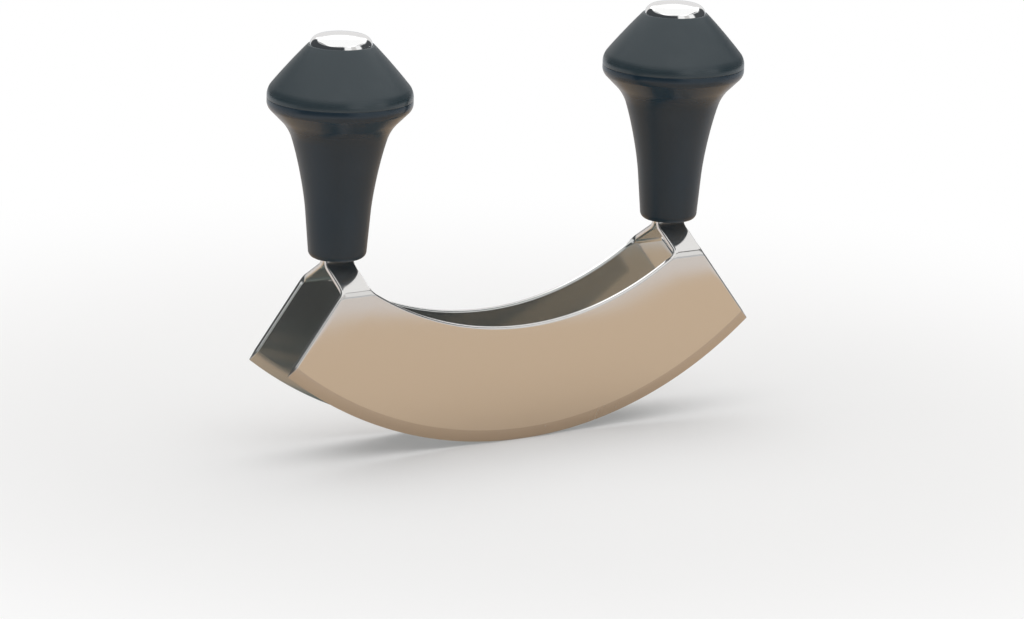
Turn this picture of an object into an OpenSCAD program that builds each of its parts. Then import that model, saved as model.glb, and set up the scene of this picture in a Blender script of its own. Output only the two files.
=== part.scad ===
// Double-bladed mezzaluna: two bent and ground crescent blades, held by two upright knob handles.
// X runs along the blades, Y across them, Z up; the origin is midway between the lowest points
// of the two cutting edges.

/* [Blades] */
// Length of each blade from tip to tip
blade_span = 165; // [158:1:172]
// Radius of the curved cutting edge
edge_radius = 132; // [122:1:150]
// Radius of the hollow upper edge
hollow_radius = 98; // [94:1:104]
// Depth of the blade at mid-length, from the hollow edge down to the cutting edge
web_depth = 35.7; // [33:0.1:37]
// Thickness of the blade sheet
sheet_t = 2; // [1.6:0.1:2.4]
// Distance between the middle planes of the two blades
blade_pitch = 23; // [20:0.5:27]
// Height of the ground bevel along the cutting edge
bevel_h = 3.6; // [2:0.2:6]
// Thickness left at the cutting edge
edge_t = 0.3; // [0.2:0.1:0.6]

/* [Tangs] */
// Height at which the outer faces of the blade and of the slanting strap would meet
shoulder_z = 52.6; // [51:0.2:54]
// Width of the strap and of the tang above it
tang_w = 9.6; // [8:0.2:11]
// Slant of the strap from upright, in degrees
strap_slant = 58; // [50:1:64]
// Radius that rounds the corner between each strap's inner side and the hollow edge
root_r = 3; // [1:0.5:4]
// Radius that rounds the corner between each strap's outer side and the blade's end
shoulder_r = 4; // [1:0.5:6]
// Inner radius of the lower bend, at the shoulder
shoulder_bend_r = 1.6; // [0.4:0.2:2.6]
// Inner radius of the upper bend, under the handle
neck_bend_r = 2; // [1:0.2:3]
// Length of the tang above the bottom of the handle
tang_len = 40; // [39:0.5:43]
// Radius of each rivet that joins the two tangs
rivet_r = 1.5; // [1:0.1:1.8]
// Radius of a rivet's countersunk head
rivet_head_r = 2.4; // [2.2:0.1:2.8]
// Heights of the two rivets above the bottom of the handle
rivet_low = 9; // [6:0.5:12]
rivet_high = 24; // [20:0.5:27]
// Radius of the pin across the two tangs
pin_r = 1.5; // [1:0.1:2]
// Length of the pin across the two tangs
pin_len = 13; // [10:0.5:14]

/* [Handles] */
// Distance from each blade tip in to the axis of the handle above it
handle_inset = 23; // [21:0.5:25]
// Radius of the grip at its bottom end
grip_r = 8.6; // [8:0.1:10]
// Taper of the lower grip, in degrees from upright
grip_taper = 4.8; // [3:0.2:6]
// Steeper slope of the upper grip, in degrees from upright
flare_slope = 18; // [14:1:20]
// Height at which the lower and upper slopes of the grip would meet
flare_z = 25.5; // [23:0.5:27]
// Radius that blends the lower and upper slopes of the grip
flare_blend_r = 100; // [60:5:105]
// Slope under the rim, in degrees from upright
rim_slope = 45; // [42:1:48]
// Height at which the slope under the rim would meet the upper grip
throat_z = 39.4; // [38.8:0.2:40]
// Radius that blends the grip into the slope under the rim
throat_blend_r = 11.6; // [8:0.2:12]
// Largest radius of the handle, at its rim
rim_r = 21.8; // [21:0.1:23]
// Height of the parting line at the rim
parting_z = 48.4; // [48:0.1:49.5]
// Radius that rounds the rim below the parting line
rim_low_r = 3; // [2:0.2:3.6]
// Radius that rounds the rim above the parting line
rim_high_r = 4.6; // [3:0.2:5]
// Radius that rounds the bottom edge of the grip
grip_edge_r = 2.2; // [1:0.2:3]
// Height at which the knob's cone would reach the rim
cone_z = 50.9; // [50.5:0.1:51.5]
// How far the middle of the cone's two faint slopes stands out of straight
cone_bulge = 0.4; // [0.1:0.1:0.8]
// Height of the knob's flat top
knob_top_z = 64.6; // [63:0.2:67]
// Width of the knob's flat top round the end cap, before its edge is rounded
cap_ledge = 0.5; // [0.4:0.1:1.5]
// Radius that rounds the top edge of the knob
knob_edge_r = 0.5; // [0.2:0.1:1]
// Depth and half width of the fine groove at the parting line
seam = 0.25; // [0.1:0.05:0.4]

/* [Inside the handles] */
// Height of the cup's floor in the grip, above the bottom of the handle
cup_floor_z = 34; // [33:0.5:35]
// Radius of the cup's floor
cup_floor_r = 8.5; // [8:0.1:9]
// Radius of the bore in the rim that takes the knob's skirt
socket_r = 16.6; // [16:0.1:17]
// Depth of that bore below the parting line
socket_depth = 4; // [3.4:0.2:4.4]
// Wall of the knob's skirt
skirt_wall = 1.6; // [1.2:0.1:2]
// Wall of the knob's cone, measured level
cone_wall = 3.4; // [3:0.1:4]
// Thickness of the knob's top wall
crown_wall = 4.2; // [3.6:0.1:5]
// Wall of the boss round the end cap's spigot
boss_wall = 2; // [1.4:0.1:2.6]
// Length of the end cap's spigot
spigot_len = 7.5; // [6:0.5:9]
// Radius of the end cap's spigot
spigot_r = 3; // [2.5:0.1:3.5]

/* [End caps] */
// Radius of the end cap
cap_r = 9.4; // [8.8:0.1:9.8]
// Height of the end cap's middle above the knob's flat top
cap_rise = 3.6; // [3:0.1:4.2]
// Radius of the end cap's low dome
dome_r = 28; // [22:1:50]
// Radius that rounds the edge of the end cap
cap_edge_r = 3.2; // [1:0.1:3.6]
// Depth of the recess that seats the end cap
cap_seat = 0.8; // [0.4:0.1:1.2]

/* [Fits] */
// Clearance at each side where a piece seats in another
fit_gap = 0.05; // [0.03:0.01:0.1]
// Clearance at each side between the tangs and their slot
slot_gap = 0.1; // [0.05:0.05:0.2]

/* [Hidden] */
$fn = 96;
over = 1;
steel = [0.80, 0.80, 0.79];
rivet_steel = [0.62, 0.63, 0.64];
grip_black = [0.17, 0.19, 0.20];
knob_black = [0.22, 0.24, 0.25];

tip_x = blade_span / 2;
handle_x = tip_x - handle_inset;
tip_z = edge_radius - sqrt(pow(edge_radius, 2) - pow(tip_x, 2));
hollow_z = web_depth + hollow_radius;
tang_in = handle_x - tang_w / 2;
tang_out = handle_x + tang_w / 2;

// The two tangs touch back to back at y = 0, so each blade steps in by half the pitch less half a sheet.
step_in = blade_pitch / 2 - sheet_t / 2;
bend_z = shoulder_z - (shoulder_bend_r + sheet_t) * tan(strap_slant / 2);
arc_end_z = bend_z - sheet_t / 4;
arc_end_x = sqrt(pow(hollow_radius, 2) - pow(hollow_z - arc_end_z, 2));
strap_root_z = arc_end_z + (tang_in - arc_end_x) * arc_end_x / (hollow_z - arc_end_z);
neck_z = shoulder_z + step_in / tan(strap_slant);
handle_z = neck_z + neck_bend_r * tan(strap_slant / 2) + 0.3;
tang_top = handle_z + tang_len;
pin_z = cup_floor_z + pin_r + fit_gap;

// Moves what is drawn with Z along a handle's axis to the left handle (side -1) or right one (side 1).
module at_handle(side) {
    translate([side * handle_x, 0, handle_z]) children();
}

// Lays a drawing made in X and Y upright in X and Z, with its thickness centred on y = 0.
module upright(thickness) {
    rotate([90, 0, 0]) translate([0, 0, -thickness / 2]) linear_extrude(thickness) children();
}

function unit(v) = v / norm(v);
function turn(a, b, c) = (b[0] - a[0]) * (c[1] - b[1]) - (b[1] - a[1]) * (c[0] - b[0]);
function setback(a, b, c, r) = r * tan(acos(min(1, max(-1, unit(b - a) * unit(c - b)))) / 2);
function xy(p) = [p[0], p[1]];
function before(corners, i) = xy(corners[(i + len(corners) - 1) % len(corners)]);
function after(corners, i) = xy(corners[(i + 1) % len(corners)]);

// The two points at which a corner's arc starts and ends.
function arc_ends(a, b, c, r) = let (s = setback(a, b, c, r)) [b - s * unit(b - a), b + s * unit(c - b)];

// A corner's points on the outline: itself, or the ends of its arc.
function trimmed(corners, i) = let (b = xy(corners[i]), r = corners[i][2])
    r > 0 ? arc_ends(before(corners, i), b, after(corners, i), r) : [b];

// A corner rounded with a few flats, as a list of points from a towards c.
function flats(a, b, c, r, n = 5) = let (
    ends = arc_ends(a, b, c, r),
    out = unit(unit(b - a) - unit(c - b)),
    middle = b - out * norm([norm(ends[0] - b), r]),
    start = atan2(ends[0][1] - middle[1], ends[0][0] - middle[0]),
    swing = 2 * atan(norm(ends[0] - b) / r) * sign(turn(a, b, c))
) [for (i = [0:n]) middle + r * [cos(start + swing * i / n), sin(start + swing * i / n)]];

function reversed(list) = [for (i = [len(list) - 1:-1:0]) list[i]];
function mirrored(points) = reversed([for (p = points) [-p[0], p[1]]]);

// A polygon whose corners [x, y, radius] are rounded with true arcs; corners run anticlockwise.
module rounded_outline(corners) {
    last = len(corners) - 1;
    difference() {
        union() {
            polygon([for (i = [0:last]) for (p = trimmed(corners, i)) p]);
            for (i = [0:last]) arc_segment(corners, i, true);
        }
        for (i = [0:last]) arc_segment(corners, i, false);
    }
}

// The segment between a rounded corner's arc and its chord, for outward corners or inward ones.
module arc_segment(corners, i, outward) {
    a = before(corners, i);
    b = xy(corners[i]);
    c = after(corners, i);
    r = corners[i][2];
    if (r > 0 && (turn(a, b, c) > 0) == outward) {
        ends = arc_ends(a, b, c, r);
        out = unit(unit(b - a) - unit(c - b));
        middle = b - out * norm([norm(ends[0] - b), r]);
        intersection() {
            translate(middle) circle(r, $fn = r > 20 ? 720 : $fn);
            polygon([ends[0], ends[1], ends[1] + r * out, ends[0] + r * out]);
        }
    }
}

// Side view of the bent sheet for the front blade: x is the distance across, y is the height.
module sheet_profile() {
    lower = -blade_pitch / 2;
    outer_bend = shoulder_bend_r + sheet_t;
    drop = sheet_t * tan(strap_slant / 2);
    rounded_outline([
        [lower - sheet_t / 2, -over, 0],
        [lower + sheet_t / 2, -over, 0],
        [lower + sheet_t / 2, shoulder_z - drop, shoulder_bend_r],
        [0, neck_z - drop, neck_bend_r + sheet_t],
        [0, tang_top, 0],
        [-sheet_t, tang_top, 0],
        [-sheet_t, neck_z, neck_bend_r],
        [lower - sheet_t / 2, shoulder_z, outer_bend]
    ]);
}

// Front view of a blade: a crescent with slanting ends and two straps that run up into the handles.
module blade_outline() {
    foot = [tip_x + (tip_z + over) * (tip_x - tang_out) / (shoulder_z - tip_z), -over];
    side = concat([foot], flats(foot, [tang_out, shoulder_z], [tang_out, tang_top], shoulder_r),
                  [[tang_out, tang_top]]);
    difference() {
        intersection() {
            translate([0, edge_radius]) circle(edge_radius, $fn = 360);
            polygon(concat(side, mirrored(side)));
        }
        hollow();
    }
}

// The opening over the hollow edge and between the straps. Its arc ends just below the bend, and a
// straight line carries it on from there to the strap.
module hollow() {
    arc_end = [arc_end_x, arc_end_z];
    root = [tang_in, strap_root_z];
    top = [tang_in, tang_top + over];
    room = 0.8 * norm(root - arc_end) / setback(arc_end, root, top, 1);
    side = concat([arc_end], flats(arc_end, root, top, min(root_r, room)), [top]);
    intersection() {
        translate([0, hollow_z]) circle(hollow_radius, $fn = 360);
        translate([-blade_span, 0]) square([2 * blade_span, arc_end_z]);
    }
    polygon(concat(side, mirrored(side)));
}

// A body that tapers from the centre of the cutting edge to a rim just past it. The sheet keeps its
// full thickness inside it down to the bevel.
module grinding_cone() {
    slope = (sheet_t - edge_t) / 2 / bevel_h;
    reach = edge_radius + edge_t / 2 / slope;
    translate([0, -blade_pitch / 2, edge_radius]) rotate([90, 0, 0])
        rotate_extrude($fn = 360) polygon([[0, -reach * slope], [reach, 0], [0, reach * slope]]);
}

module blade_blank() {
    intersection() {
        upright(2 * blade_pitch) blade_outline();
        rotate([90, 0, 90]) translate([0, 0, -blade_span]) linear_extrude(2 * blade_span) sheet_profile();
    }
}

module blade() {
    above_bends = [4 * blade_span, 4 * blade_pitch, 2 * tang_top];
    difference() {
        intersection() {
            blade_blank();
            union() {
                grinding_cone();
                translate([-above_bends[0] / 2, -above_bends[1] / 2, bend_z - over]) cube(above_bends);
            }
        }
        for (side = [-1, 1]) at_handle(side) {
            for (z = [rivet_low, rivet_high]) translate([0, 0, z]) rivet(fit_gap);
            translate([0, 0, pin_z]) cross_pin(fit_gap);
        }
    }
}

module front_blade() {
    color(steel) blade();
}

module back_blade() {
    color(steel) mirror([0, 1, 0]) blade();
}

// A rivet through both tangs, countersunk flush at each end; grow widens it into its hole.
module rivet(grow = 0) {
    head = rivet_head_r - rivet_r;
    r = rivet_r + grow;
    wide = rivet_head_r + grow;
    end = sheet_t + (grow > 0 ? over : 0);
    rotate([90, 0, 0]) rotate_extrude()
        polygon([[0, -end], [wide, -end], [wide, -sheet_t], [r, head - sheet_t],
                 [r, sheet_t - head], [wide, sheet_t], [wide, end], [0, end]]);
}

module tang_rivets(side) {
    color(rivet_steel) at_handle(side)
        for (z = [rivet_low, rivet_high]) translate([0, 0, z]) rivet();
}

// The pin that bears on the cup's floor and keeps the grip on the tangs.
module cross_pin(grow = 0) {
    rotate([90, 0, 0]) cylinder(r = pin_r + grow, h = pin_len, center = true);
}

module tang_pin(side) {
    color(rivet_steel) at_handle(side) translate([0, 0, pin_z]) cross_pin();
}

// Half section of the grip's outside: x is the radius, y the height above the bottom of the handle.
flare_r = grip_r + flare_z * tan(grip_taper);
throat_r = flare_r + (throat_z - flare_z) * tan(flare_slope);
rim_z = throat_z + (rim_r - throat_r) / tan(rim_slope);

// Each blend is held back where its neighbour leaves it less room.
flare_room = (throat_z - flare_z) / cos(flare_slope) - throat_blend_r * tan((rim_slope - flare_slope) / 2);
flare_arc_r = min(flare_blend_r, (flare_room - 0.2) / tan((flare_slope - grip_taper) / 2));
rim_arc_r = min(rim_low_r, (parting_z - seam - rim_z - 0.1) / tan(rim_slope / 2));

module grip_section() {
    rounded_outline([
        [0, 0, 0],
        [grip_r, 0, grip_edge_r],
        [flare_r, flare_z, flare_arc_r],
        [throat_r, throat_z, throat_blend_r],
        [rim_r, rim_z, rim_arc_r],
        [rim_r, parting_z - seam, 0],
        [rim_r - seam, parting_z, 0],
        [0, parting_z, 0]
    ]);
}

module cup_section() {
    polygon([[0, cup_floor_z], [cup_floor_r, cup_floor_z], [socket_r, parting_z - socket_depth],
             [socket_r, parting_z + over], [0, parting_z + over]]);
}

module grip(side) {
    color(grip_black) at_handle(side) difference() {
        rotate_extrude() grip_section();
        rotate_extrude() cup_section();
        translate([-tang_w / 2 - slot_gap, -sheet_t - slot_gap, -over])
            cube([tang_w + 2 * slot_gap, 2 * (sheet_t + slot_gap), cup_floor_z + 2 * over]);
    }
}

// The cone's two slopes, blended where they meet, from the rim up to the knob's flat top.
knob_top_r = cap_r + cap_ledge;
cone_lean = (rim_r - knob_top_r) / (knob_top_z - cone_z);
cone_foot = [rim_r, cone_z];
cone_head = [knob_top_r, knob_top_z];
cone_half = norm(cone_head - cone_foot) / 2;
cone_out = unit([knob_top_z - cone_z, rim_r - knob_top_r]);
cone_middle = (cone_foot + cone_head) / 2 + cone_bulge * cone_out;
cone_blend_r = 0.75 * cone_half * cone_half / cone_bulge;

// Each rounding is held back where its neighbour leaves it less room.
rim_turn = atan(cone_lean) - atan(cone_bulge / cone_half);
head_turn = 90 - atan(cone_lean) - atan(cone_bulge / cone_half);
rim_top_arc_r = min(rim_high_r, (cone_z - parting_z - seam - 0.1) / tan(rim_turn / 2));
head_arc_r = min(knob_edge_r, (cap_ledge - fit_gap - 0.1) / tan(head_turn / 2));

// Half section of the knob's top, with its skirt, its coned inside and the boss for the spigot.
crown_z = knob_top_z - crown_wall;
skirt_r = socket_r - fit_gap;
inside_r = skirt_r - skirt_wall;
crown_r = knob_top_r + crown_wall * cone_lean - cone_wall;
inside_z = crown_z - (inside_r - crown_r) / cone_lean;
seat_z = knob_top_z - cap_seat;
bore_r = spigot_r + fit_gap;
boss_z = seat_z - spigot_len - fit_gap;

module knob_section() {
    rounded_outline([
        [inside_r, parting_z - socket_depth + fit_gap, 0],
        [skirt_r, parting_z - socket_depth + fit_gap, 0],
        [skirt_r, parting_z, 0],
        [rim_r - seam, parting_z, 0],
        [rim_r, parting_z + seam, 0],
        [rim_r, cone_z, rim_top_arc_r],
        [cone_middle[0], cone_middle[1], cone_blend_r],
        [knob_top_r, knob_top_z, head_arc_r],
        [cap_r + fit_gap, knob_top_z, 0],
        [cap_r + fit_gap, seat_z, 0],
        [bore_r, seat_z, 0],
        [bore_r, boss_z, 0],
        [bore_r + boss_wall, boss_z, 0],
        [bore_r + boss_wall, crown_z, 0],
        [crown_r, crown_z, 0],
        [inside_r, inside_z, 0]
    ]);
}

module knob_top(side) {
    color(knob_black) at_handle(side) rotate_extrude() knob_section();
}

// Half section of the end cap: a low dome that rolls over into a well rounded edge, over a spigot.
cap_top = knob_top_z + cap_rise;
dome_z = cap_top - dome_r;
cap_room = (pow(dome_r, 2) - pow(cap_r, 2) - pow(seat_z - dome_z, 2)) / (dome_r - cap_r) / 2;
cap_arc_r = min(cap_edge_r, cap_room - 0.1);
roll_x = cap_r - cap_arc_r;
roll_z = dome_z + sqrt(pow(dome_r - cap_arc_r, 2) - pow(roll_x, 2));
roll_top = [roll_x, roll_z] + cap_arc_r * unit([roll_x, roll_z - dome_z]);

module cap_section() {
    difference() {
        intersection() {
            translate([0, dome_z]) circle(dome_r, $fn = 360);
            translate([0, seat_z]) square([cap_r, dome_r]);
        }
        difference() {
            polygon([[cap_r, roll_z], [cap_r + over, roll_z], [cap_r + over, cap_top + over],
                     [roll_top[0], cap_top + over], roll_top]);
            translate([roll_x, roll_z]) circle(cap_arc_r);
        }
    }
    translate([0, seat_z - spigot_len]) square([spigot_r, spigot_len + over / 2]);
}

module end_cap(side) {
    color(steel) at_handle(side) rotate_extrude() cap_section();
}

front_blade();
back_blade();
tang_rivets(-1);  // left_tang_rivets
tang_rivets(1);  // right_tang_rivets
tang_pin(-1);  // left_cross_pin
tang_pin(1);  // right_cross_pin
grip(-1);  // left_grip
grip(1);  // right_grip
knob_top(-1);  // left_knob_top
knob_top(1);  // right_knob_top
end_cap(-1);  // left_end_cap
end_cap(1);  // right_end_cap
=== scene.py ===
"""The looks of a double-bladed mezzaluna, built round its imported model.

Two bent and ground crescent blades rise into two upright knob handles, which are capped with
polished steel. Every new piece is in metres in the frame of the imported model.
"""

import logging
import math
from collections.abc import Mapping, Sequence
from dataclasses import dataclass, field
from enum import Enum

import bmesh
import bpy
from mathutils import Euler, Matrix, Vector


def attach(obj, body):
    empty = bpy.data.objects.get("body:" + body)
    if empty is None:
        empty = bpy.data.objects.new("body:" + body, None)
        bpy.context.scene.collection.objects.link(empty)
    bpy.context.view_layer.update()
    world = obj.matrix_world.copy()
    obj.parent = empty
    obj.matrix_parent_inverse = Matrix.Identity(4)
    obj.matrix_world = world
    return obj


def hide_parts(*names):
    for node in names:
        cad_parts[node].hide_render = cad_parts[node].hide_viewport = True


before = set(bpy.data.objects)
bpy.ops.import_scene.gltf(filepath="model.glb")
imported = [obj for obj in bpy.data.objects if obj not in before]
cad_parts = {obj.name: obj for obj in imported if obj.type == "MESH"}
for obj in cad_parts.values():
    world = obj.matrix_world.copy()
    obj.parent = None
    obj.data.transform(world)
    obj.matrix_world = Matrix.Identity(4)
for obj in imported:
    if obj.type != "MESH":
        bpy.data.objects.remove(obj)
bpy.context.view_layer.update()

MM = 0.001
Colour = tuple[float, float, float]

# Lengths in a drawing, in millimetres, that differ by less than this are the same.
SAME = 0.01
# Points of a drawing that are nearer than this are one point.
WELD = 0.0001

log = logging.getLogger("mezzaluna")


class Side(Enum):
    """The two ends of the tool."""

    LEFT = -1
    RIGHT = 1

    @property
    def word(self) -> str:
        """The word that starts the names of this side's pieces."""
        return self.name.lower()


class Place(Enum):
    """The two blades, by where they stand across the tool."""

    FRONT = 1
    BACK = -1

    @property
    def word(self) -> str:
        """The word that starts the name of this blade."""
        return self.name.lower()


class Signal:
    """A shader value that works in Python expressions; each operator adds a Math node."""

    def __init__(self, graph: "Graph", socket: bpy.types.NodeSocket) -> None:
        """Holds a socket and the graph that it is in."""
        self.graph = graph
        self.socket = socket

    def math(self, operation: str, *others: "Signal | float") -> "Signal":
        """Runs a Math node on this value, with the others in its other sockets."""
        sockets = dict(enumerate((self, *others)))
        return self.graph.node("ShaderNodeMath", {"operation": operation}, sockets)

    def __add__(self, other: "Signal | float") -> "Signal":
        """This value plus another."""
        return self.math("ADD", other)

    def __radd__(self, other: float) -> "Signal":
        """A number plus this value."""
        return self.math("ADD", other)

    def __sub__(self, other: "Signal | float") -> "Signal":
        """This value less another."""
        return self.math("SUBTRACT", other)

    def __rsub__(self, other: float) -> "Signal":
        """A number less this value."""
        return self.math("MULTIPLY", -1.0).math("ADD", other)

    def __mul__(self, other: "Signal | float") -> "Signal":
        """This value times another."""
        return self.math("MULTIPLY", other)

    def __rmul__(self, other: float) -> "Signal":
        """A number times this value."""
        return self.math("MULTIPLY", other)

    def ramp(self, low: float, high: float) -> "Signal":
        """Rises smoothly from 0 at low to 1 at high, or falls where low is the larger."""
        sockets = {"Value": self, "From Min": low, "From Max": high}
        return self.graph.node("ShaderNodeMapRange", {"interpolation_type": "SMOOTHSTEP"}, sockets)


class Graph:
    """The node tree of a material or of the world."""

    def __init__(self, tree: bpy.types.NodeTree) -> None:
        """Holds a node tree and empties it."""
        self.tree = tree
        tree.nodes.clear()

    def node(
        self,
        kind: str,
        settings: Mapping[str, object] | None = None,
        sockets: Mapping[str | int, object] | None = None,
        output: str | int = 0,
    ) -> Signal:
        """Adds one node.

        Args:
            kind: The node's type.
            settings: Its own settings, which are set first.
            sockets: A number, colour or Signal for each socket, by name or place.
            output: The output that is wanted, by name or place.

        Returns:
            That output.
        """
        made = self.tree.nodes.new(kind)
        for name, value in (settings or {}).items():
            setattr(made, name, value)
        for name, value in (sockets or {}).items():
            if isinstance(value, Signal):
                self.tree.links.new(value.socket, made.inputs[name])
            else:
                made.inputs[name].default_value = value
        return Signal(self, made.outputs[output] if made.outputs else made.inputs[0])

    def light_path(self) -> dict[str, Signal]:
        """What kind of ray asks: 1 or 0 for each of the Light Path node's outputs, by name."""
        made = self.node("ShaderNodeLightPath")
        return {output.name: Signal(self, output) for output in made.socket.node.outputs}

    def place(self) -> Signal:
        """The point on the surface, in the object's own frame, in metres."""
        return self.node("ShaderNodeTexCoord", output="Object")

    def split(self, vector: Signal) -> tuple[Signal, Signal, Signal]:
        """Takes a vector apart.

        Args:
            vector: The vector.

        Returns:
            Its x, y and z.
        """
        x = self.node("ShaderNodeSeparateXYZ", sockets={0: vector})
        outputs = x.socket.node.outputs
        return x, Signal(self, outputs[1]), Signal(self, outputs[2])

    def join(self, x: Signal | float, y: Signal | float, z: Signal | float) -> Signal:
        """Puts a vector together from its three numbers."""
        return self.node("ShaderNodeCombineXYZ", sockets={0: x, 1: y, 2: z})

    def noise(self, vector: Signal, scale: float, detail: float) -> Signal:
        """Cloudy noise round 0.5, with a scale of clouds to the unit and finer layers of detail."""
        sockets = {"Vector": vector, "Scale": scale, "Detail": detail}
        return self.node("ShaderNodeTexNoise", sockets=sockets)

    def blend(self, share: Signal, first: "Signal | Colour", second: "Signal | Colour") -> Signal:
        """Mixes two colours.

        Args:
            share: 0 gives the first and 1 the second.
            first: The first colour.
            second: The second colour.

        Returns:
            The mixed colour.
        """
        ends = [c if isinstance(c, Signal) else (*c, 1.0) for c in (first, second)]
        sockets = {0: share, 6: ends[0], 7: ends[1]}
        return self.node("ShaderNodeMix", {"data_type": "RGBA"}, sockets, 2)

    def bump(self, height: Signal, depth: float, strength: float) -> Signal:
        """Turns a height of about 0 to 1 into a shading normal; its depth is in metres."""
        sockets = {"Height": height, "Distance": depth, "Strength": strength}
        return self.node("ShaderNodeBump", sockets=sockets)

    def surface(self, sockets: Mapping[str | int, object]) -> None:
        """Ends a material in one Principled shader, with these values in its sockets."""
        shader = self.node("ShaderNodeBsdfPrincipled", sockets=sockets)
        self.node("ShaderNodeOutputMaterial", sockets={"Surface": shader})


def new_graph(name: str) -> tuple[bpy.types.Material, Graph]:
    """Makes an empty material.

    Args:
        name: Its name.

    Returns:
        The material and the graph that fills it.
    """
    material = bpy.data.materials.new(name)
    material.use_nodes = True
    return material, Graph(material.node_tree)


@dataclass(frozen=True)
class PolishedSheet:
    """Polished stainless sheet whose cutting edge is finely ground, in metres."""

    name: str = "polished_sheet"
    colour: Colour = (0.69, 0.68, 0.665)
    ground_colour: Colour = (0.56, 0.535, 0.51)
    # Inner faces: darker and greener than the outside, as painted shade and a painted dark reflection
    # between the blades.
    inner_shade_colour: Colour = (0.56, 0.57, 0.56)
    haze: float = 0.06
    inner_haze: float = 0.115
    roughness: float = 0.085
    ground_roughness: float = 0.26
    smear_roughness: float = 0.05
    polish_roughness: float = 0.03
    edge_radius: float = 132.0 * MM
    ground: float = 3.6 * MM
    ground_fade: float = 0.2 * MM
    smear_grain: float = 45.0
    polish_grain: tuple[float, float, float] = (900.0, 900.0, 60.0)
    grind_grain: tuple[float, float, float] = (900.0, 120.0, 300.0)
    polish_share: float = 0.05
    mark_depth: float = 0.01 * MM
    mark_strength: float = 0.35

    def material(self) -> bpy.types.Material:
        """Polishing marks, smears, grinding marks across the bevel, and hazier inner faces whose
        darker, greener colour is painted shade between the blades.

        Returns:
            The material.
        """
        made, graph = new_graph(self.name)
        point = graph.place()
        x, y, z = graph.split(point)
        drop = z - self.edge_radius
        reach = (x * x + drop * drop).math("SQRT")
        sweep = x.math("ARCTAN2", drop * -1.0)
        top = self.edge_radius - self.ground
        bevel = reach.ramp(top - self.ground_fade, top)
        along = graph.join(*(part * grain for part, grain in zip((x, y, z), self.polish_grain)))
        down = graph.join(*(part * grain for part, grain in zip((sweep, reach, y), self.grind_grain)))
        polish = graph.noise(along, 1.0, 3.0)
        smear = graph.noise(point, self.smear_grain, 3.0)
        grind = graph.noise(down, 1.0, 2.0)
        smooth = self.roughness + (smear - 0.5) * self.smear_roughness
        smooth = smooth + (polish - 0.5) * self.polish_roughness
        rough = smooth + bevel * (self.ground_roughness - self.roughness)
        marks = polish * self.polish_share + bevel * grind
        _, across, _ = graph.split(graph.node("ShaderNodeNewGeometry", output="Normal"))
        # Inner faces face the other blade. Their darker, greener colour below is painted shade between
        # the blades; their haze is the finish's own.
        inner = (across * y).ramp(0.0, -MM)
        outside = graph.blend(bevel, self.colour, self.ground_colour)
        graph.surface(
            {
                "Base Color": graph.blend(inner, outside, self.inner_shade_colour),
                "Metallic": (1.0 - self.haze) - inner * (self.inner_haze - self.haze),
                "Roughness": rough,
                "Normal": graph.bump(marks, self.mark_depth, self.mark_strength),
            }
        )
        return made


@dataclass(frozen=True)
class TurnedSteel:
    """Steel that is turned round an upright axis, and polished or left plain."""

    name: str
    colour: Colour
    roughness: float
    marks: float
    smear_share: float = 0.7
    smear_grain: float = 160.0
    mark_grain: float = 2600.0
    mark_depth: float = 0.004 * MM

    def material(self) -> bpy.types.Material:
        """Fine turning marks and a trace of handling.

        Returns:
            The material.
        """
        made, graph = new_graph(self.name)
        point = graph.place()
        smear = graph.noise(point, self.smear_grain, 3.0)
        fine = graph.noise(point, self.mark_grain, 2.0)
        rough = self.roughness + (smear - 0.5) * self.roughness * self.smear_share
        graph.surface(
            {
                "Base Color": (*self.colour, 1.0),
                "Metallic": 1.0,
                "Roughness": rough,
                "Normal": graph.bump(fine, self.mark_depth, self.marks),
            }
        )
        return made


@dataclass(frozen=True)
class SatinMoulding:
    """Soft satin black plastic, glossier in one band where hands and the mould have polished it."""

    name: str
    colour: Colour
    worn_colour: Colour
    roughness: float
    band_roughness: float
    band: tuple[float, float]
    band_foot: tuple[float, float] = (-4.0 * MM, 3.0 * MM)
    band_top: tuple[float, float] = (1.2 * MM, -1.2 * MM)
    band_smoothing: float = 0.8
    grain: float = 3800.0
    grain_depth: float = 0.02 * MM
    grain_strength: float = 0.3
    touch_grain: float = 70.0
    touch_range: tuple[float, float] = (0.45, 0.75)
    touch_roughness: float = 0.08

    def material(self) -> bpy.types.Material:
        """An eroded mould's fine grain, a polished band by height, and faint handling marks.

        Returns:
            The material.
        """
        made, graph = new_graph(self.name)
        point = graph.place()
        _, _, z = graph.split(point)
        foot = [self.band[0] + up for up in self.band_foot]
        top = [self.band[1] + up for up in self.band_top]
        band = z.ramp(*foot) * z.ramp(*top)
        grain = graph.noise(point, self.grain, 2.0)
        touch = graph.noise(point, self.touch_grain, 4.0)
        rough = self.roughness + (touch - 0.5) * self.touch_roughness
        rough = rough + band * (self.band_roughness - self.roughness)
        height = grain * (1.0 - band * self.band_smoothing)
        graph.surface(
            {
                "Base Color": graph.blend(touch.ramp(*self.touch_range), self.colour, self.worn_colour),
                "Roughness": rough,
                "Specular IOR Level": 0.5,
                "Normal": graph.bump(height, self.grain_depth, self.grain_strength),
            }
        )
        return made


def finish_mesh(work: bmesh.types.BMesh, name: str, sharp: float) -> bpy.types.Object:
    """Turns a drawing in millimetres into an object in metres with smooth shading.

    Args:
        work: The drawing, which is used up.
        name: The piece's name.
        sharp: Edges that turn by more degrees than this stay sharp.

    Returns:
        The piece.
    """
    bmesh.ops.recalc_face_normals(work, faces=work.faces)
    bmesh.ops.scale(work, vec=(MM, MM, MM), verts=work.verts)
    mesh = bpy.data.meshes.new(name)
    work.to_mesh(mesh)
    work.free()
    mesh.shade_smooth()
    mesh.set_sharp_from_angle(angle=math.radians(sharp))
    made = bpy.data.objects.new(name, mesh)
    bpy.context.scene.collection.objects.link(made)
    return made


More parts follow.
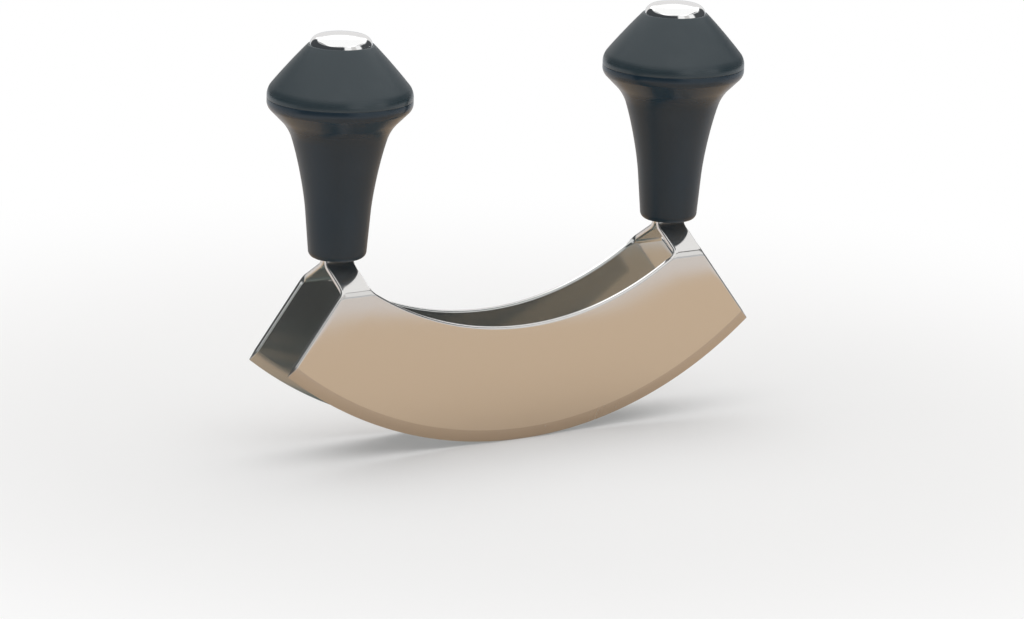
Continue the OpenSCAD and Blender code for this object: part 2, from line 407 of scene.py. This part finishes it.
def hand_in(piece: bpy.types.Object, node: str, material: bpy.types.Material) -> None:
    """Dresses a piece, puts it in a CAD node's place and reports it.

    Args:
        piece: The new piece.
        node: The CAD node that it stands for.
        material: Its finish.
    """
    piece.data.materials.append(material)
    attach(piece, "root")
    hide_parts(node)
    log.info("%s stands for %s: %d faces", piece.name, node, len(piece.data.polygons))


@dataclass
class Blade:
    """One bent and ground crescent of sheet steel with two straps and tangs, in mm and degrees."""

    span: float = 165.0
    edge_radius: float = 132.0
    hollow_radius: float = 98.0
    web: float = 35.7
    sheet: float = 2.0
    pitch: float = 23.0
    ground: float = 3.6
    keen: float = 0.3
    shoulder: float = 52.6
    strap: float = 9.6
    slant: float = 58.0
    low_bend: float = 3.6
    neck_bend: float = 2.0
    handle_x: float = 59.5
    tang_top: float = 100.57
    rounding: float = 0.9
    round_steps: int = 5
    round_from: float = 40.0
    keen_reach: float = 0.3
    tip_room: float = 1.0
    columns: int = 104
    across: int = 6
    bend_steps: int = 12
    strap_rows: tuple[float, ...] = (0.03, 0.05, 0.08, 0.14, 0.35, 0.35)

    def __post_init__(self) -> None:
        """Works out where the crescent's corners and bends are."""
        self.tip_x = self.span / 2
        self.tip_z = self.edge_radius - math.sqrt(self.edge_radius**2 - self.tip_x**2)
        self.hollow_z = self.web + self.hollow_radius
        self.inner_x = self.handle_x - self.strap / 2
        self.outer_x = self.handle_x + self.strap / 2
        self.outer_y = -self.pitch / 2 - self.sheet / 2
        self.bend_z = self.shoulder - self.low_bend * math.tan(math.radians(self.slant / 2))
        self.hollow_end_x = self.hollow_x(self.bend_z)
        self.root_z = self.hollow_z - math.sqrt(self.hollow_radius**2 - self.inner_x**2)

    def hollow_x(self, z: float) -> float:
        """How far from the middle the hollow edge is at a height."""
        return math.sqrt(self.hollow_radius**2 - (self.hollow_z - z) ** 2)

    def strap_ends(self, z: float) -> tuple[float, float]:
        """Where the strap's two sides are at a height, as they leave the crescent.

        Args:
            z: The height.

        Returns:
            The inner and the outer distance from the middle.
        """
        inner_room = self.root_z - self.bend_z
        outer_room = self.shoulder - self.bend_z
        fall = (self.inner_x - self.hollow_end_x) / inner_room
        lean = (self.tip_x - self.outer_x) / (self.shoulder - self.tip_z)
        return (
            self.inner_x - fall * self.soften(self.root_z - z, inner_room),
            self.outer_x + lean * self.soften(self.shoulder - z, outer_room),
        )

    @staticmethod
    def soften(depth: float, room: float) -> float:
        """Rounds the corner of a depth that is held at 0 where it is negative.

        Args:
            depth: The depth.
            room: How far from 0 the rounding reaches.

        Returns:
            The depth with its corner rounded.
        """
        if abs(depth) < room:
            return (depth + room) ** 2 / (4 * room)
        return max(depth, 0.0)

    def arc(
        self,
        work: bmesh.types.BMesh,
        start_x: float,
        radius: float,
        centre_z: float,
        steps: int,
    ) -> None:
        """Spins a point into the arc that hangs under a centre.

        Args:
            work: The drawing.
            start_x: How far left of the middle it starts; it ends as far right.
            radius: Its radius.
            centre_z: The height of its centre.
            steps: How many pieces it has.
        """
        half = math.asin(start_x / radius)
        first = work.verts.new((-start_x, self.outer_y, centre_z - radius * math.cos(half)))
        bmesh.ops.spin(
            work,
            geom=[first],
            cent=(0, 0, centre_z),
            axis=(0, 1, 0),
            angle=-2 * half,
            steps=steps,
            use_merge=False,
            use_duplicate=False,
        )

    def upper_line(self, work: bmesh.types.BMesh) -> None:
        """Draws the hollow edge and the two lines where the straps begin.

        Args:
            work: The drawing.
        """
        steps = self.columns - 2 * self.across
        self.arc(work, self.hollow_end_x, self.hollow_radius, self.hollow_z, steps)
        ends = [v for v in work.verts if v.co.z > self.bend_z - SAME]
        far_x = self.strap_ends(self.bend_z)[1]
        feet = []
        for end in ends:
            outer = work.verts.new((math.copysign(far_x, end.co.x), self.outer_y, self.bend_z))
            feet.append(work.edges.new((end, outer)))
        bmesh.ops.subdivide_edges(work, edges=feet, cuts=self.across - 1)

    def crescent(self, work: bmesh.types.BMesh) -> None:
        """Joins the cutting edge, the bevel's top and the upper line into the outer face.

        Args:
            work: The drawing.
        """
        top_radius = self.edge_radius - self.ground
        lean = math.atan2(self.tip_x - self.outer_x, self.shoulder - self.tip_z)
        drop = self.edge_radius - self.tip_z
        along = self.tip_x * math.sin(lean) + drop * math.cos(lean)
        step = along - math.sqrt(along**2 - self.edge_radius**2 + top_radius**2)
        top_x = self.tip_x - step * math.sin(lean)
        self.upper_line(work)
        self.arc(work, self.tip_x, self.edge_radius, self.edge_radius, self.columns)
        self.arc(work, top_x, top_radius, self.edge_radius, self.columns)
        reach = {v: math.hypot(v.co.x, v.co.z - self.edge_radius) for v in work.verts}
        lines = [
            [v for v in work.verts if abs(reach[v] - self.edge_radius) < SAME],
            [v for v in work.verts if abs(reach[v] - top_radius) < SAME],
            [v for v in work.verts if reach[v] < top_radius - SAME],
        ]
        for low, high in zip(lines, lines[1:]):
            both = set(low), set(high)
            edges = [e for e in work.edges if any(set(e.verts) <= line for line in both)]
            bmesh.ops.bridge_loops(work, edges=edges)

    @staticmethod
    def row_points(row: Sequence[bmesh.types.BMEdge]) -> list[bmesh.types.BMVert]:
        """The points of a row of edges, each once and in order."""
        return list(dict.fromkeys(v for e in row for v in e.verts))

    @staticmethod
    def raise_row(
        work: bmesh.types.BMesh,
        row: Sequence[bmesh.types.BMEdge],
    ) -> list[bmesh.types.BMEdge]:
        """Extrudes a row of edges in place.

        Args:
            work: The drawing.
            row: The edges.

        Returns:
            The new row.
        """
        made = bmesh.ops.extrude_edge_only(work, edges=row)["geom"]
        new = {v for v in made if isinstance(v, bmesh.types.BMVert)}
        return [e for e in made if isinstance(e, bmesh.types.BMEdge) and set(e.verts) <= new]

    def fit_row(
        self,
        work: bmesh.types.BMesh,
        row: Sequence[bmesh.types.BMEdge],
        side: Side,
    ) -> None:
        """Widens or narrows a row to the strap's width at its height.

        Args:
            work: The drawing.
            row: Its edges.
            side: The end of the blade that it is on.
        """
        verts = self.row_points(row)
        xs = [abs(v.co.x) for v in verts]
        inner, outer = self.strap_ends(verts[0].co.z)
        middle = side.value * (min(xs) + max(xs)) / 2
        wide = (outer - inner) / (max(xs) - min(xs))
        centre = Matrix.Translation((-middle, 0, 0))
        bmesh.ops.scale(work, vec=(wide, 1, 1), space=centre, verts=verts)
        shift = side.value * (inner + outer) / 2 - middle
        bmesh.ops.translate(work, vec=(shift, 0, 0), verts=verts)

    def starts_strap(self, vert: bmesh.types.BMVert, side: Side) -> bool:
        """Whether a point is on the line where this side's strap begins."""
        out = side.value * vert.co.x
        return out > self.hollow_end_x - SAME and vert.co.z > self.bend_z - SAME

    def strap_and_tang(self, work: bmesh.types.BMesh, side: Side) -> None:
        """Raises a strap from the shoulder through its two bends and up into the handle.

        Args:
            work: The drawing.
            side: The end of the blade that it is on.
        """
        row = [e for e in work.edges if all(self.starts_strap(v, side) for v in e.verts)]
        slant = math.radians(self.slant)
        low_y = self.outer_y + self.low_bend
        neck_y = -self.sheet - self.neck_bend
        strap_y = low_y - self.low_bend * math.cos(slant)
        strap_z = self.bend_z + self.low_bend * math.sin(slant)
        run = (neck_y + self.neck_bend * math.cos(slant) - strap_y) / math.sin(slant)
        neck_z = strap_z + run * math.cos(slant) + self.neck_bend * math.sin(slant)
        row = self.bend_row(work, row, side, (low_y, self.bend_z), -slant)
        for share in self.strap_rows:
            row = self.raise_row(work, row)
            step = Vector((0, math.sin(slant), math.cos(slant))) * run * share
            bmesh.ops.translate(work, vec=step, verts=self.row_points(row))
            self.fit_row(work, row, side)
        row = self.bend_row(work, row, side, (neck_y, neck_z), slant)
        row = self.raise_row(work, row)
        rise = self.tang_top - neck_z
        bmesh.ops.translate(work, vec=(0, 0, rise), verts=self.row_points(row))

    def bend_row(
        self,
        work: bmesh.types.BMesh,
        row: Sequence[bmesh.types.BMEdge],
        side: Side,
        centre: tuple[float, float],
        angle: float,
    ) -> list[bmesh.types.BMEdge]:
        """Carries a row round a bend.

        Args:
            work: The drawing.
            row: Its edges.
            side: The end of the blade that it is on.
            centre: The y and z of the bend's axis.
            angle: How far it turns about X, in radians.

        Returns:
            The row at the bend's end.
        """
        turn = Matrix.Rotation(angle / self.bend_steps, 3, "X")
        for _ in range(self.bend_steps):
            row = self.raise_row(work, row)
            bmesh.ops.rotate(work, cent=(0, *centre), matrix=turn, verts=self.row_points(row))
            self.fit_row(work, row, side)
        return row

    def thicken(self, work: bmesh.types.BMesh) -> None:
        """Gives the face its thickness inwards, thins it to the cutting edge and rounds its edges.

        Args:
            work: The drawing.
        """
        bmesh.ops.recalc_face_normals(work, faces=work.faces)
        middle = self.outer_y + self.sheet / 2
        facing = sum(f.normal.y * f.calc_area() for f in work.faces)
        inwards = self.sheet if facing < 0 else -self.sheet
        bmesh.ops.solidify(work, geom=list(work.faces), thickness=inwards)
        bmesh.ops.recalc_face_normals(work, faces=work.faces)
        sharp = math.radians(self.round_from)
        turned = [e for e in work.edges if len(e.link_faces) == 2 and e.calc_face_angle() > sharp]
        bmesh.ops.bevel(
            work,
            geom=[e for e in turned if not all(self.is_keen(v) for v in e.verts)],
            offset=self.rounding,
            offset_type="OFFSET",
            affect="EDGES",
            segments=self.round_steps,
            profile=0.5,
            material=-1,
            clamp_overlap=True,
        )
        squeeze = self.keen / self.sheet
        centre = Matrix.Translation((0, -middle, 0))
        thin = [v for v in work.verts if self.is_keen(v)]
        bmesh.ops.scale(work, vec=(1, squeeze, 1), space=centre, verts=thin)
        bmesh.ops.recalc_face_normals(work, faces=work.faces)

    def is_keen(self, vert: bmesh.types.BMVert) -> bool:
        """Tells whether a point is on the cutting edge.

        Args:
            vert: The point.

        Returns:
            Whether it is.
        """
        reach = math.hypot(vert.co.x, vert.co.z - self.edge_radius)
        low = vert.co.z < self.tip_z + self.tip_room
        return low and reach > self.edge_radius - self.keen_reach

    def build(self, place: Place) -> bpy.types.Object:
        """Builds one blade.

        Args:
            place: Which of the two it is.

        Returns:
            The piece.
        """
        work = bmesh.new()
        self.crescent(work)
        for side in Side:
            self.strap_and_tang(work, side)
        self.thicken(work)
        if place is Place.BACK:
            bmesh.ops.scale(work, vec=(1, -1, 1), verts=work.verts)
        piece = finish_mesh(work, f"{place.word}_bent_blade", 180.0)
        even = piece.modifiers.new("even_shading", "WEIGHTED_NORMAL")
        even.mode = "FACE_AREA"
        even.weight = 100
        return piece


@dataclass(frozen=True)
class Corner:
    """A corner of a turned section, in millimetres: distance from the axis, height and rounding."""

    out: float
    up: float
    radius: float = 0.0
    segments: int = 6


@dataclass
class Handle:
    """One upright handle: grip, knob top and end cap, turned round its axis, in millimetres."""

    side: Side
    axis_x: float = 59.5
    foot_z: float = 60.57
    steps: int = 128
    sharp: float = 32.0
    grip: tuple[Corner, ...] = (
        Corner(8.5, 34.0),
        Corner(0.0, 34.0),
        Corner(0.0, 0.0),
        Corner(8.6, 0.0, 2.2, 8),
        Corner(10.741, 25.5, 100.0, 12),
        Corner(15.257, 39.4, 11.6, 8),
        Corner(21.8, 45.943, 3.0, 8),
        Corner(21.8, 48.32, 0.05, 2),
        Corner(21.72, 48.4),
        Corner(16.6, 48.4),
        Corner(16.6, 44.4),
    )
    knob: tuple[Corner, ...] = (
        Corner(14.95, 44.45),
        Corner(16.55, 44.45),
        Corner(16.55, 48.4),
        Corner(21.72, 48.4),
        Corner(21.8, 48.48, 0.05, 2),
        Corner(21.8, 50.9, 4.6, 12),
        Corner(16.152, 58.012, 154.35, 16),
        Corner(9.9, 64.6, 0.5, 6),
        Corner(9.45, 64.6),
        Corner(9.45, 63.8),
        Corner(3.05, 63.8),
        Corner(3.05, 56.25),
        Corner(5.05, 56.25),
        Corner(5.05, 60.4),
        Corner(10.148, 60.4),
        Corner(14.95, 54.872),
    )
    slot: tuple[float, float] = (9.8, 4.2)
    cup_floor: float = 34.0
    cap_radius: float = 9.4
    cap_top: float = 68.2
    cap_seat: float = 63.8
    cap_edge: float = 3.2
    dome: float = 28.0
    dome_steps: int = 18
    edge_steps: int = 16
    spigot: float = 3.0
    spigot_foot: float = 56.3

    def section(self, work: bmesh.types.BMesh, corners: Sequence[Corner]) -> None:
        """Draws a closed half section and rounds its corners.

        Args:
            work: The drawing.
            corners: The section's corners, in order.
        """
        verts = [work.verts.new((c.out, 0, c.up)) for c in corners]
        for a, b in zip(verts, verts[1:] + verts[:1]):
            work.edges.new((a, b))
        for i, corner in enumerate(corners):
            if corner.radius:
                self.round_off(work, verts[i], corner)

    @staticmethod
    def round_off(work: bmesh.types.BMesh, vert: bmesh.types.BMVert, corner: Corner) -> None:
        """Rounds one corner of a section.

        Args:
            work: The drawing.
            vert: The corner's point.
            corner: Its rounding.
        """
        ends = [(e.other_vert(vert).co - vert.co).normalized() for e in vert.link_edges]
        half_turn = (math.pi - ends[0].angle(ends[1])) / 2
        bmesh.ops.bevel(
            work,
            geom=[vert],
            offset=corner.radius * math.tan(half_turn),
            offset_type="OFFSET",
            affect="VERTICES",
            segments=corner.segments,
            profile=0.5,
            material=-1,
            clamp_overlap=False,
        )

    def turn(self, work: bmesh.types.BMesh) -> None:
        """Spins a half section round the axis, closes its poles and moves it to its side.

        Args:
            work: The drawing.
        """
        on_axis = [e for e in work.edges if all(abs(v.co.x) < SAME for v in e.verts)]
        bmesh.ops.delete(work, geom=on_axis, context="EDGES")
        bmesh.ops.spin(
            work,
            geom=[*work.verts, *work.edges],
            cent=(0, 0, 0),
            axis=(0, 0, 1),
            angle=math.tau,
            steps=self.steps,
            use_merge=True,
            use_duplicate=False,
        )
        bmesh.ops.remove_doubles(work, verts=work.verts, dist=WELD)
        foot = (self.side.value * self.axis_x, 0, self.foot_z)
        bmesh.ops.translate(work, vec=foot, verts=work.verts)

    def turned(
        self,
        name: str,
        corners: Sequence[Corner],
        slotted: bool = False,
    ) -> bpy.types.Object:
        """Makes a turned piece.

        Args:
            name: The piece's name, without its side.
            corners: Its half section.
            slotted: Whether the slot for the tangs goes through it.

        Returns:
            The piece.
        """
        work = bmesh.new()
        self.section(work, corners)
        self.turn(work)
        if slotted:
            self.cut_slot(work)
        return finish_mesh(work, f"{self.side.word}_{name}", self.sharp)

    def cut_slot(self, work: bmesh.types.BMesh) -> None:
        """Opens the grip's foot and the floor of its cup, and joins the two openings.

        Args:
            work: The drawing, which is already at its place.
        """
        middle = Vector((self.side.value * self.axis_x, 0, 0))
        for up in (self.foot_z, self.foot_z + self.cup_floor):
            for axis, size in zip((Vector((1, 0, 0)), Vector((0, 1, 0))), self.slot):
                for way in (-1, 1):
                    flat = self.level_faces(work, up)
                    edges = dict.fromkeys(e for f in flat for e in f.edges)
                    verts = dict.fromkeys(v for f in flat for v in f.verts)
                    bmesh.ops.bisect_plane(
                        work,
                        geom=[*flat, *edges, *verts],
                        dist=WELD,
                        plane_co=middle + axis * way * size / 2,
                        plane_no=axis,
                    )
            inside = [f for f in self.level_faces(work, up) if self.in_slot(f, middle)]
            bmesh.ops.delete(work, geom=inside, context="FACES")
        rims = [e for e in work.edges if len(e.link_faces) == 1]
        bmesh.ops.bridge_loops(work, edges=rims)

    @staticmethod
    def level_faces(work: bmesh.types.BMesh, up: float) -> list[bmesh.types.BMFace]:
        """The faces of a drawing that lie level at a height."""
        return [f for f in work.faces if all(abs(v.co.z - up) < SAME for v in f.verts)]

    def in_slot(self, face: bmesh.types.BMFace, middle: Vector) -> bool:
        """Whether a face's centre is inside the slot, whose own middle is given."""
        off = face.calc_center_median() - middle
        return abs(off.x) < self.slot[0] / 2 and abs(off.y) < self.slot[1] / 2

    def cap(self) -> bpy.types.Object:
        """Makes the low-domed end cap, whose edge rolls over, on its spigot.

        Returns:
            The piece.
        """
        work = bmesh.new()
        inside = self.dome - self.cap_edge
        lean = math.asin((self.cap_radius - self.cap_edge) / inside)
        middle = self.cap_top - self.dome
        last = work.verts.new((0, 0, self.cap_top))
        last = self.swing(work, last, (0, middle), lean, self.dome_steps)
        roll = (inside * math.sin(lean), middle + inside * math.cos(lean))
        last = self.swing(work, last, roll, math.pi / 2 - lean, self.edge_steps)
        line = [
            (self.cap_radius, self.cap_seat),
            (self.spigot, self.cap_seat),
            (self.spigot, self.spigot_foot),
            (0, self.spigot_foot),
        ]
        for out, up in line:
            new = work.verts.new((out, 0, up))
            work.edges.new((last, new))
            last = new
        self.turn(work)
        return finish_mesh(work, f"{self.side.word}_cap", self.sharp)

    @staticmethod
    def swing(
        work: bmesh.types.BMesh,
        start: bmesh.types.BMVert,
        middle: tuple[float, float],
        angle: float,
        steps: int,
    ) -> bmesh.types.BMVert:
        """Spins a point of a half section into an arc.

        Args:
            work: The drawing.
            start: The point.
            middle: The arc's middle, as its distance from the axis and its height.
            angle: How far it turns, in radians.
            steps: How many pieces it has.

        Returns:
            The arc's end.
        """
        made = bmesh.ops.spin(
            work,
            geom=[start],
            cent=(middle[0], 0, middle[1]),
            axis=(0, 1, 0),
            angle=angle,
            steps=steps,
            use_merge=False,
            use_duplicate=False,
        )
        return next(v for v in made["geom_last"] if isinstance(v, bmesh.types.BMVert))

    def build(self, finishes: "Finishes") -> None:
        """Builds and hands in the three pieces.

        Args:
            finishes: The tool's finishes.
        """
        word = self.side.word
        grip = self.turned("moulded_grip", self.grip, True)
        hand_in(grip, f"{word}_grip", finishes.grip)
        knob = self.turned("coned_knob", self.knob)
        hand_in(knob, f"{word}_knob_top", finishes.knob)
        hand_in(self.cap(), f"{word}_end_cap", finishes.cap)


@dataclass
class Finishes:
    """The tool's materials, made once each, and the glossier band's heights over the grip's foot."""

    rim: tuple[float, float] = (38.5, 51.0)
    sheet: bpy.types.Material = field(init=False)
    grip: bpy.types.Material = field(init=False)
    knob: bpy.types.Material = field(init=False)
    cap: bpy.types.Material = field(init=False)
    fastener: bpy.types.Material = field(init=False)

    def __post_init__(self) -> None:
        """Makes the materials."""
        low, high = self.rim
        band = ((Handle.foot_z + low) * MM, (Handle.foot_z + high) * MM)
        self.sheet = PolishedSheet().material()
        self.grip = SatinMoulding(
            name="satin_grip",
            colour=(0.008, 0.023, 0.038),
            worn_colour=(0.012, 0.027, 0.042),
            roughness=0.40,
            band_roughness=0.24,
            band=band,
        ).material()
        # The knob is the same black plastic as the grip. Its lighter colours are painted light, where
        # the overhead lamp and light from the right fall on the upturned cone.
        self.knob = SatinMoulding(
            name="satin_knob",
            colour=(0.028, 0.044, 0.053),
            worn_colour=(0.036, 0.052, 0.061),
            roughness=0.46,
            band_roughness=0.24,
            band=band,
        ).material()
        self.cap = TurnedSteel("mirror_cap", (0.88, 0.88, 0.875), 0.07, 0.05).material()
        self.fastener = TurnedSteel("plain_pin_steel", (0.52, 0.53, 0.54), 0.32, 0.5).material()


@dataclass
class Fasteners:
    """The rivets and pins inside the handles, which keep their CAD shapes."""

    nodes: tuple[str, ...] = (
        "left_tang_rivets",
        "right_tang_rivets",
        "left_cross_pin",
        "right_cross_pin",
    )

    def dress(self, material: bpy.types.Material) -> None:
        """Gives each its finish.

        Args:
            material: Their finish.
        """
        for name in self.nodes:
            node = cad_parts[name]
            node.data.materials.clear()
            node.data.materials.append(material)
            log.info("%s keeps its CAD shape", name)


def stage_piece(name: str, work: bmesh.types.BMesh) -> bpy.types.Object:
    """Turns a drawing in metres into a piece of the studio.

    Args:
        name: The piece's name.
        work: The drawing, which is used up.

    Returns:
        The piece.
    """
    mesh = bpy.data.meshes.new(name)
    work.to_mesh(mesh)
    work.free()
    made = bpy.data.objects.new(name, mesh)
    bpy.context.scene.collection.objects.link(made)
    return made


@dataclass(frozen=True)
class Card:
    """A curved card round the tool that only gloss sees, by its compass range in degrees."""

    name: str
    start: float
    end: float
    reach: float
    low: float
    high: float
    tone: Colour
    steps: int = 24
    side_fade: float = 8.0
    top_fade: float = 0.25
    foot_fade: float = 0.03

    def bow(self) -> bmesh.types.BMesh:
        """Draws the card.

        Returns:
            The drawing, in metres.
        """
        work = bmesh.new()
        start = math.radians(self.start)
        x, y = self.reach * math.cos(start), self.reach * math.sin(start)
        ends = [work.verts.new((x, y, up)) for up in (self.low, self.high)]
        bmesh.ops.spin(
            work,
            geom=[*ends, work.edges.new(ends)],
            cent=(0, 0, 0),
            axis=(0, 0, 1),
            angle=math.radians(self.end - self.start),
            steps=self.steps,
            use_merge=False,
            use_duplicate=False,
        )
        return work

    def material(self) -> bpy.types.Material:
        """An even glow that fades out towards the card's edges.

        Returns:
            The material.
        """
        made, graph = new_graph(self.name)
        x, y, z = graph.split(graph.place())
        middle = math.radians(self.start + self.end) / 2
        half = math.radians(self.end - self.start) / 2
        ahead = x * (math.cos(middle) / self.reach) + y * (math.sin(middle) / self.reach)
        sides = ahead.ramp(math.cos(half), math.cos(half - math.radians(self.side_fade)))
        top = z.ramp(self.high, self.high - self.top_fade * (self.high - self.low))
        foot = z.ramp(self.low - self.foot_fade, self.low + self.foot_fade)
        clear = graph.node("ShaderNodeBsdfTransparent")
        glow = graph.node("ShaderNodeEmission", sockets={"Color": (*self.tone, 1), "Strength": 1.0})
        both = graph.node("ShaderNodeMixShader", sockets={0: sides * top * foot, 1: clear, 2: glow})
        graph.node("ShaderNodeOutputMaterial", sockets={"Surface": both})
        return made

    def build(self) -> None:
        """Sets the card up where only gloss sees it."""
        card = stage_piece(self.name, self.bow())
        card.data.materials.append(self.material())
        card.visible_camera = False
        card.visible_diffuse = False
        card.visible_transmission = False
        card.visible_shadow = False


@dataclass(frozen=True)
class Patch:
    """A soft-edged patch of the floor: where each of its sides starts and is full, in metres."""

    left: tuple[float, float]
    right: tuple[float, float]
    near: tuple[float, float]
    far: tuple[float, float]

    def share(self, x: Signal, y: Signal) -> Signal:
        """How much of the patch there is at a point, from 0 outside to 1 inside."""
        return y.ramp(*self.near) * y.ramp(*self.far) * x.ramp(*self.left) * x.ramp(*self.right)


@dataclass
class Studio:
    """A plain pale floor, one large soft lamp, cards for the reflections, and the camera."""

    ahead: float = 57.4
    box: tuple[float, float, float, float] = (3.0, 1.57, 2.5, 1.4)
    brightness: float = 1.1
    glow: float = 0.34
    cards: tuple[Card, ...] = (
        Card("left_card", 90.0, 254.0, 1.45, 0.0, 1.25, (0.055, 0.06, 0.065)),
        Card("near_card", 272.0, 298.0, 1.45, 0.0, 1.25, (0.66, 0.65, 0.64)),
        Card("near_line", 290.0, 318.0, 1.42, 0.04, 0.18, (0.62, 0.62, 0.62)),
        Card("near_right_card", 314.0, 350.0, 1.45, 0.0, 1.2, (0.07, 0.075, 0.08)),
        Card("right_card", -24.0, 32.0, 1.48, 0.0, 1.1, (0.07, 0.075, 0.08)),
        Card("far_line", 26.0, 96.0, 2.3, 0.0, 0.09, (0.40, 0.41, 0.42)),
        Card("far_card", 10.0, 125.0, 2.32, 0.02, 1.3, (0.82, 0.81, 0.81)),
    )
    camera_place: Vector = field(default_factory=lambda: Vector((-0.86102, -1.34408, 0.43246)))
    camera_turn: tuple[float, float, float] = (76.1127, -1.5157, -32.2591)
    lens: float = 189.541
    sensor: float = 36.0
    shift: tuple[float, float] = (0.00897, -0.00017)
    clip: tuple[float, float] = (0.05, 50.0)
    pool: Patch = Patch((-0.19, -0.14), (0.24, 0.18), (-0.166, -0.138), (0.17, 0.13))
    under: Patch = Patch((-0.115, -0.100), (0.105, 0.090), (-0.0125, -0.009), (0.0125, 0.009))
    wave: tuple[float, float, float] = (48.0, 1.8, 0.013)
    open_far: tuple[float, float] = (0.02, 0.2)
    open_right: tuple[float, float] = (-0.25, -0.05)
    seen_fade: tuple[float, float] = (0.13, 0.34)
    gloss_fade: tuple[float, float] = (0.30, 0.60)
    box_fade: tuple[float, float] = (0.655, 0.56)
    floor_size: float = 6.0
    white: Colour = (1.0, 1.0, 1.0)
    warm: Colour = (0.73, 0.555, 0.39)
    cool: Colour = (0.82, 0.76, 0.72)
    plain: Colour = (0.86, 0.855, 0.85)
    far: Colour = (0.70, 0.73, 0.76)
    near: Colour = (0.10, 0.11, 0.12)
    shade: Colour = (0.15, 0.19, 0.18)

    def build(self) -> None:
        """Sets everything up."""
        self.floor()
        self.sky()
        self.softbox()
        for card in self.cards:
            card.build()
        self.camera()
        bpy.context.scene.view_settings.view_transform = "Standard"

    def floor(self) -> None:
        """A wide plain floor that is white far off.

        Gloss sees a warm patch round the tool with a wavy edge, a dark strip of painted shadow
        between the blades, and a floor that is dark at the near left and pale elsewhere.
        """
        floor = stage_piece("studio_floor", self.floor_mesh())
        material, graph = new_graph("pale_floor")
        x, y, _ = graph.split(graph.place())
        ray = graph.light_path()
        gloss = ray["Is Glossy Ray"]
        seen = ray["Is Camera Ray"].math("MAXIMUM", ray["Is Transmission Ray"])
        away = (x * x + y * y).math("SQRT")
        often, start, depth = self.wave
        wavy = y + (x * often - start).math("COSINE") * depth
        warm = graph.blend(self.pool.share(x, wavy), self.cool, self.warm)
        colour = graph.blend(gloss, self.plain, warm)
        matt = graph.node("ShaderNodeBsdfDiffuse", sockets={"Color": colour})
        # Under the blades, gloss sees a dark green-grey glow: painted shadow under the tool.
        under = self.under.share(x, y) * gloss
        pale = y.ramp(*self.open_far).math("MAXIMUM", x.ramp(*self.open_right))
        around = graph.blend(gloss, self.white, graph.blend(pale, self.near, self.far))
        glow = graph.blend(under, around, self.shade)
        bright = graph.node("ShaderNodeEmission", sockets={"Color": glow, "Strength": 1.0})
        share = away.ramp(*self.seen_fade) * seen
        share = share.math("MAXIMUM", away.ramp(*self.gloss_fade) * gloss)
        share = share.math("MAXIMUM", under)
        both = graph.node("ShaderNodeMixShader", sockets={0: share, 1: matt, 2: bright})
        graph.node("ShaderNodeOutputMaterial", sockets={"Surface": both})
        floor.data.materials.append(material)

    def floor_mesh(self) -> bmesh.types.BMesh:
        """Draws the floor.

        Returns:
            The drawing, in metres.
        """
        work = bmesh.new()
        bmesh.ops.create_grid(work, x_segments=2, y_segments=2, size=self.floor_size)
        return work

    def sky(self) -> None:
        """A white surround that lights the tool softly."""
        world = bpy.data.worlds.new("white_surround")
        bpy.context.scene.world = world
        world.use_nodes = True
        graph = Graph(world.node_tree)
        ray = graph.light_path()
        _, _, up = graph.split(graph.node("ShaderNodeTexCoord", output="Generated"))
        clear = ray["Is Camera Ray"].math("MAXIMUM", ray["Is Transmission Ray"])
        under_box = ray["Is Glossy Ray"] * up.ramp(*self.box_fade)
        strength = clear.math("MAXIMUM", under_box) + ray["Is Diffuse Ray"] * self.glow
        sockets = {"Color": (*self.white, 1.0), "Strength": strength}
        back = graph.node("ShaderNodeBackground", sockets=sockets)
        graph.node("ShaderNodeOutputWorld", sockets={"Surface": back})

    def softbox(self) -> None:
        """One very large soft lamp over the tool, square to the camera."""
        ahead = math.radians(self.ahead)
        wide, near, far, height = self.box
        light = bpy.data.lights.new("overhead_softbox", "AREA")
        light.shape = "RECTANGLE"
        light.size, light.size_y = wide, near + far
        light.energy = self.brightness * math.pi * wide * (near + far)
        made = bpy.data.objects.new("overhead_softbox", light)
        middle = (far - near) / 2
        made.location = (middle * math.cos(ahead), middle * math.sin(ahead), height)
        made.rotation_euler = (0, 0, ahead - math.pi / 2)
        bpy.context.scene.collection.objects.link(made)

    def camera(self) -> None:
        """The camera at the photograph's viewing angle."""
        data = bpy.data.cameras.new("camera")
        data.lens = self.lens
        data.sensor_width = self.sensor
        data.shift_x, data.shift_y = self.shift
        data.clip_start, data.clip_end = self.clip
        made = bpy.data.objects.new("camera", data)
        made.location = self.camera_place
        made.rotation_euler = Euler([math.radians(a) for a in self.camera_turn])
        bpy.context.scene.collection.objects.link(made)
        bpy.context.scene.camera = made


def main() -> None:
    """Builds the tool and its studio."""
    logging.basicConfig(level=logging.INFO, format="%(name)s: %(message)s")
    Studio().build()
    finishes = Finishes()
    blade = Blade()
    for place in Place:
        hand_in(blade.build(place), f"{place.word}_blade", finishes.sheet)
    for side in Side:
        Handle(side).build(finishes)
    Fasteners().dress(finishes.fastener)


if __name__ == "__main__":
    main()
